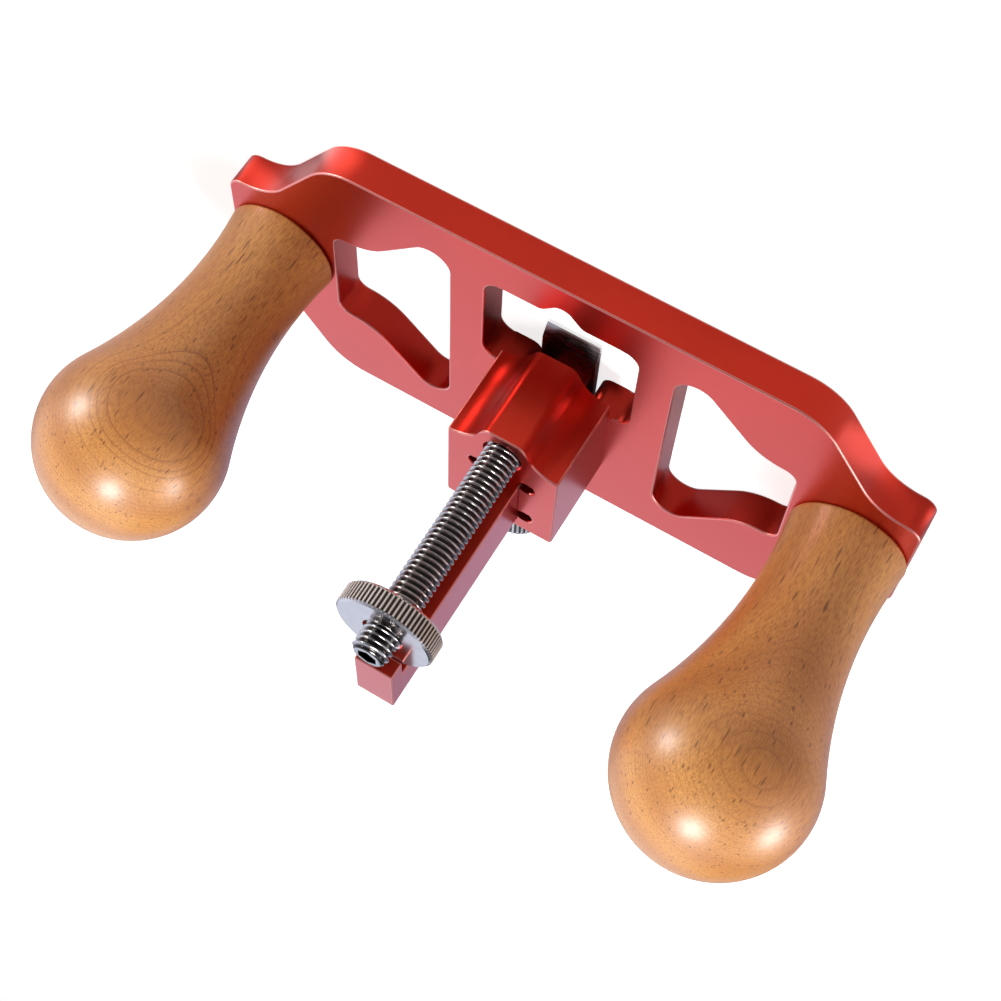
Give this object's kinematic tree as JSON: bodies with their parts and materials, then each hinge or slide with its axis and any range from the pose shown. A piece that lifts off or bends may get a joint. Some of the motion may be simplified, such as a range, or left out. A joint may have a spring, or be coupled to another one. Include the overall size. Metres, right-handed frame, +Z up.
{
  "type": "hand router plane",
  "caption": "Hand router plane: flat windowed sole, turned side handles and a cutter on a sliding bar that a knurled wheel sets along a fixed screw, with a rear lock screw.",
  "frame": {"origin": "middle of the sole's underside, below the middle of the plate", "axes": "+X along the sole from handle to handle, -Y the way the cutting edge faces, +Z up from the sole to the handles"},
  "size_m": [0.2094, 0.089, 0.1007],
  "materials": {
    "red_anodised": "satin red anodised",
    "beech": "varnished beech",
    "stainless": "bright stainless",
    "polished_steel": "turned and polished steel",
    "tool_steel": "ground hardened steel",
    "brass": "plain",
    "nylon": "natural nylon"
  },
  "bodies": {
    "base": {"base_plate": "red_anodised", "post_block": "red_anodised", "post_screw_1": "stainless", "post_screw_2": "stainless", "post_screw_3": "stainless", "post_screw_4": "stainless", "left_handle": "beech", "right_handle": "beech", "left_handle_insert": "brass", "right_handle_insert": "brass", "left_handle_screw": "stainless", "right_handle_screw": "stainless", "depth_screw": "stainless"},
    "cutter": {"cutter_bar": "red_anodised", "cutter_blade": "tool_steel", "blade_screw_1": "stainless", "blade_screw_2": "stainless"},
    "wheel": {"depth_wheel": "polished_steel"},
    "pad": {"lock_pad": "nylon"},
    "thumbscrew": {"lock_screw": "polished_steel"}
  },
  "joints": [
    {"name": "cutter_slide", "type": "slide", "parent": "base", "child": "cutter", "axis": [0, 0, 1], "range_m": [-0.04445, 0.00595]},
    {"name": "wheel_spin", "type": "hinge", "parent": "cutter", "child": "wheel", "pos_m": [0, -0.0055, 0.0861], "axis": [0, 0, 1], "range_deg": [-10081, 1351]},
    {"name": "lock_slide", "type": "slide", "parent": "base", "child": "pad", "axis": [0, 1, 0], "range_m": [0, 0.002]},
    {"name": "lock_spin", "type": "hinge", "parent": "pad", "child": "thumbscrew", "pos_m": [0, 0.035, 0.0235], "axis": [0, 1, 0], "range_deg": [-1, 721]}
  ],
  "couplings": [
    {"joint": "wheel_spin", "follows": "cutter_slide", "rad_per_m": 3957.9},
    {"joint": "lock_spin", "follows": "lock_slide", "rad_per_m": 6283.2}
  ]
}
